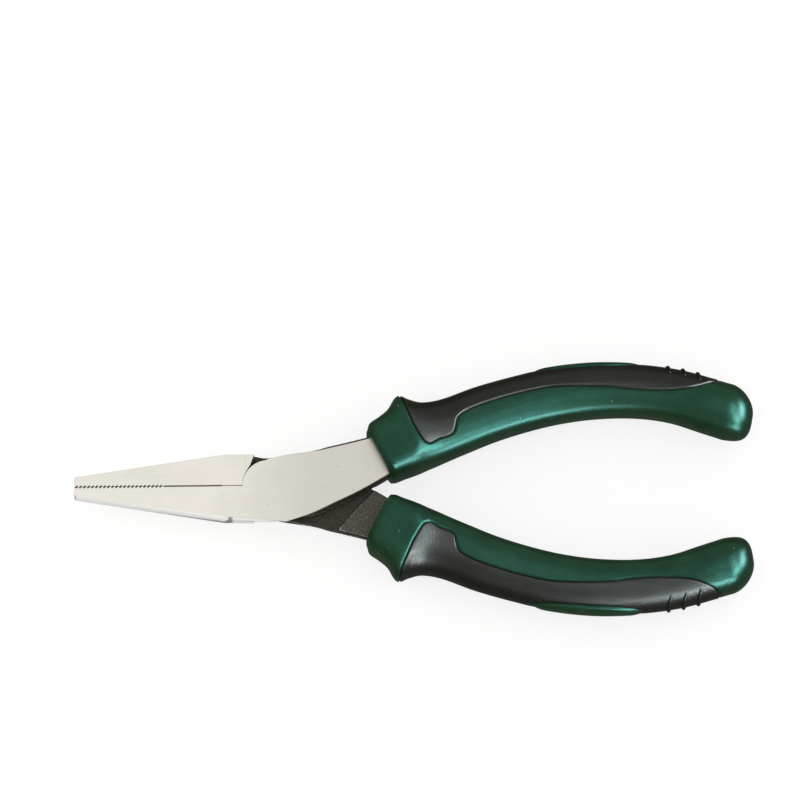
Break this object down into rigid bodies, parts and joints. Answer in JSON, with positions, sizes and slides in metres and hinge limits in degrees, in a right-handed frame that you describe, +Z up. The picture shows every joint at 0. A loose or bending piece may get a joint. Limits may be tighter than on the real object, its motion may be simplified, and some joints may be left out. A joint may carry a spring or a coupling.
{
  "type": "needle nose pliers",
  "caption": "Needle nose pliers with flat-ground tapered jaws, fine cross teeth, a flush riveted lap joint and curved two-material handles with a finger guard.",
  "frame": {"origin": "middle of the closed tool's outline in plan, on the surface that it lies flat on", "axes": "+X along the tool from the nose to the handles, +Y across the handles towards the upper handle, +Z up out of the front ground face"},
  "size_m": [0.1602, 0.0608, 0.017],
  "materials": {
    "lever_steel": "finely ground and satin on both faces and on the jaws, black oxide scale on the unground forging of the arms",
    "rivet_steel": "ground flush with the head, satin",
    "green_plastic": "fine spark-eroded texture with a soft gloss",
    "black_rubber": "matt thermoplastic rubber with a fine grain"
  },
  "bodies": {
    "rear_half": {"rear_lever": "lever_steel", "pivot_rivet": "rivet_steel", "lower_handle_core": "green_plastic", "lower_grip_overlay": "black_rubber"},
    "front_half": {"front_lever": "lever_steel", "upper_handle_core": "green_plastic", "upper_grip_overlay": "black_rubber"}
  },
  "joints": [
    {"name": "pivot", "type": "hinge", "parent": "rear_half", "child": "front_half", "pos_m": [-0.03433, 0, 0.0085], "axis": [0, 0, 1], "range_deg": [0, 42]}
  ]
}
